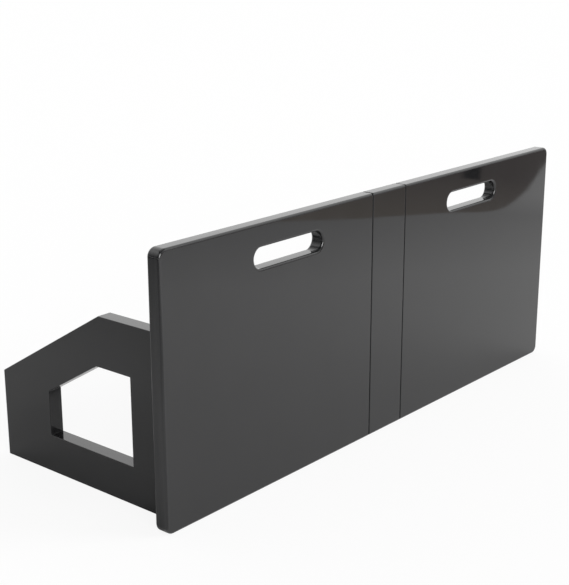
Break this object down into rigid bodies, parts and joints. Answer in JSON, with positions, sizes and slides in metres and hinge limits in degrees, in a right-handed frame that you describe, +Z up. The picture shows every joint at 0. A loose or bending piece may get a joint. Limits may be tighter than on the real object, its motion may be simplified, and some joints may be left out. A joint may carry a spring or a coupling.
{
  "type": "soccer rebound board",
  "caption": "Folding rebound board for ball practice: hinged panels with hand slots either side of a narrow strip, and windowed legs that fold flat behind.",
  "frame": {"origin": "on the ground, at the middle of the bounding box", "axes": "+X along the board, -Y towards the player, +Y towards the legs, +Z up"},
  "size_m": [1, 0.3898, 0.4],
  "materials": {
    "black_board": "glossy black polyethylene sheet",
    "zinc_plate": "zinc-plated pressed steel with a warm tint",
    "spring_wire": "oiled spring wire"
  },
  "bodies": {
    "root": {"centre_strip": "black_board", "left_seam_low_channel": "zinc_plate", "left_seam_low_pin": "zinc_plate", "left_seam_low_spring": "spring_wire", "left_seam_high_channel": "zinc_plate", "left_seam_high_pin": "zinc_plate", "left_seam_high_spring": "spring_wire", "right_seam_low_channel": "zinc_plate", "right_seam_low_pin": "zinc_plate", "right_seam_low_spring": "spring_wire", "right_seam_high_channel": "zinc_plate", "right_seam_high_pin": "zinc_plate", "right_seam_high_spring": "spring_wire"},
    "left_panel": {"left_panel": "black_board", "left_seam_low_swing_arm": "zinc_plate", "left_seam_high_swing_arm": "zinc_plate", "left_leg_low_channel": "zinc_plate", "left_leg_low_pin": "zinc_plate", "left_leg_low_spring": "spring_wire", "left_leg_high_channel": "zinc_plate", "left_leg_high_pin": "zinc_plate", "left_leg_high_spring": "spring_wire"},
    "right_panel": {"right_panel": "black_board", "right_seam_low_swing_arm": "zinc_plate", "right_seam_high_swing_arm": "zinc_plate", "right_leg_low_channel": "zinc_plate", "right_leg_low_pin": "zinc_plate", "right_leg_low_spring": "spring_wire", "right_leg_high_channel": "zinc_plate", "right_leg_high_pin": "zinc_plate", "right_leg_high_spring": "spring_wire"},
    "left_leg": {"left_leg": "black_board", "left_leg_low_swing_arm": "zinc_plate", "left_leg_high_swing_arm": "zinc_plate"},
    "right_leg": {"right_leg": "black_board", "right_leg_low_swing_arm": "zinc_plate", "right_leg_high_swing_arm": "zinc_plate"},
    "left_seam_low_lock": {"left_seam_low_lock_bar": "zinc_plate"},
    "left_seam_high_lock": {"left_seam_high_lock_bar": "zinc_plate"},
    "left_leg_low_lock": {"left_leg_low_lock_bar": "zinc_plate"},
    "left_leg_high_lock": {"left_leg_high_lock_bar": "zinc_plate"},
    "right_seam_low_lock": {"right_seam_low_lock_bar": "zinc_plate"},
    "right_seam_high_lock": {"right_seam_high_lock_bar": "zinc_plate"},
    "right_leg_low_lock": {"right_leg_low_lock_bar": "zinc_plate"},
    "right_leg_high_lock": {"right_leg_high_lock_bar": "zinc_plate"}
  },
  "joints": [
    {"name": "left_panel_fold", "type": "hinge", "parent": "root", "child": "left_panel", "pos_m": [-0.0434, -0.1519, 0.2], "axis": [0, 0, -1], "range_deg": [0, 90]},
    {"name": "right_panel_fold", "type": "hinge", "parent": "root", "child": "right_panel", "pos_m": [0.0434, -0.1519, 0.2], "axis": [0, 0, 1], "range_deg": [0, 90]},
    {"name": "left_leg_fold", "type": "hinge", "parent": "left_panel", "child": "left_leg", "pos_m": [-0.419, -0.1519, 0.13525], "axis": [0, 0, -1], "range_deg": [0, 90]},
    {"name": "right_leg_fold", "type": "hinge", "parent": "right_panel", "child": "right_leg", "pos_m": [0.419, -0.1519, 0.13525], "axis": [0, 0, 1], "range_deg": [0, 90]},
    {"name": "left_seam_low_lock_slide", "type": "slide", "parent": "root", "child": "left_seam_low_lock", "axis": [-0.4695, 0.8829, 0], "range_m": [0, 0.0028]},
    {"name": "left_seam_high_lock_slide", "type": "slide", "parent": "root", "child": "left_seam_high_lock", "axis": [-0.4695, 0.8829, 0], "range_m": [0, 0.0028]},
    {"name": "left_leg_low_lock_slide", "type": "slide", "parent": "left_panel", "child": "left_leg_low_lock", "axis": [-0.4695, 0.8829, 0], "range_m": [0, 0.0028]},
    {"name": "left_leg_high_lock_slide", "type": "slide", "parent": "left_panel", "child": "left_leg_high_lock", "axis": [-0.4695, 0.8829, 0], "range_m": [0, 0.0028]},
    {"name": "right_seam_low_lock_slide", "type": "slide", "parent": "root", "child": "right_seam_low_lock", "axis": [0.4695, 0.8829, 0], "range_m": [0, 0.0028]},
    {"name": "right_seam_high_lock_slide", "type": "slide", "parent": "root", "child": "right_seam_high_lock", "axis": [0.4695, 0.8829, 0], "range_m": [0, 0.0028]},
    {"name": "right_leg_low_lock_slide", "type": "slide", "parent": "right_panel", "child": "right_leg_low_lock", "axis": [0.4695, 0.8829, 0], "range_m": [0, 0.0028]},
    {"name": "right_leg_high_lock_slide", "type": "slide", "parent": "right_panel", "child": "right_leg_high_lock", "axis": [0.4695, 0.8829, 0], "range_m": [0, 0.0028]}
  ],
  "couplings": [
    {"joint": "left_leg_fold", "follows": "left_panel_fold", "ratio": 1},
    {"joint": "right_leg_fold", "follows": "right_panel_fold", "ratio": 1}
  ]
}
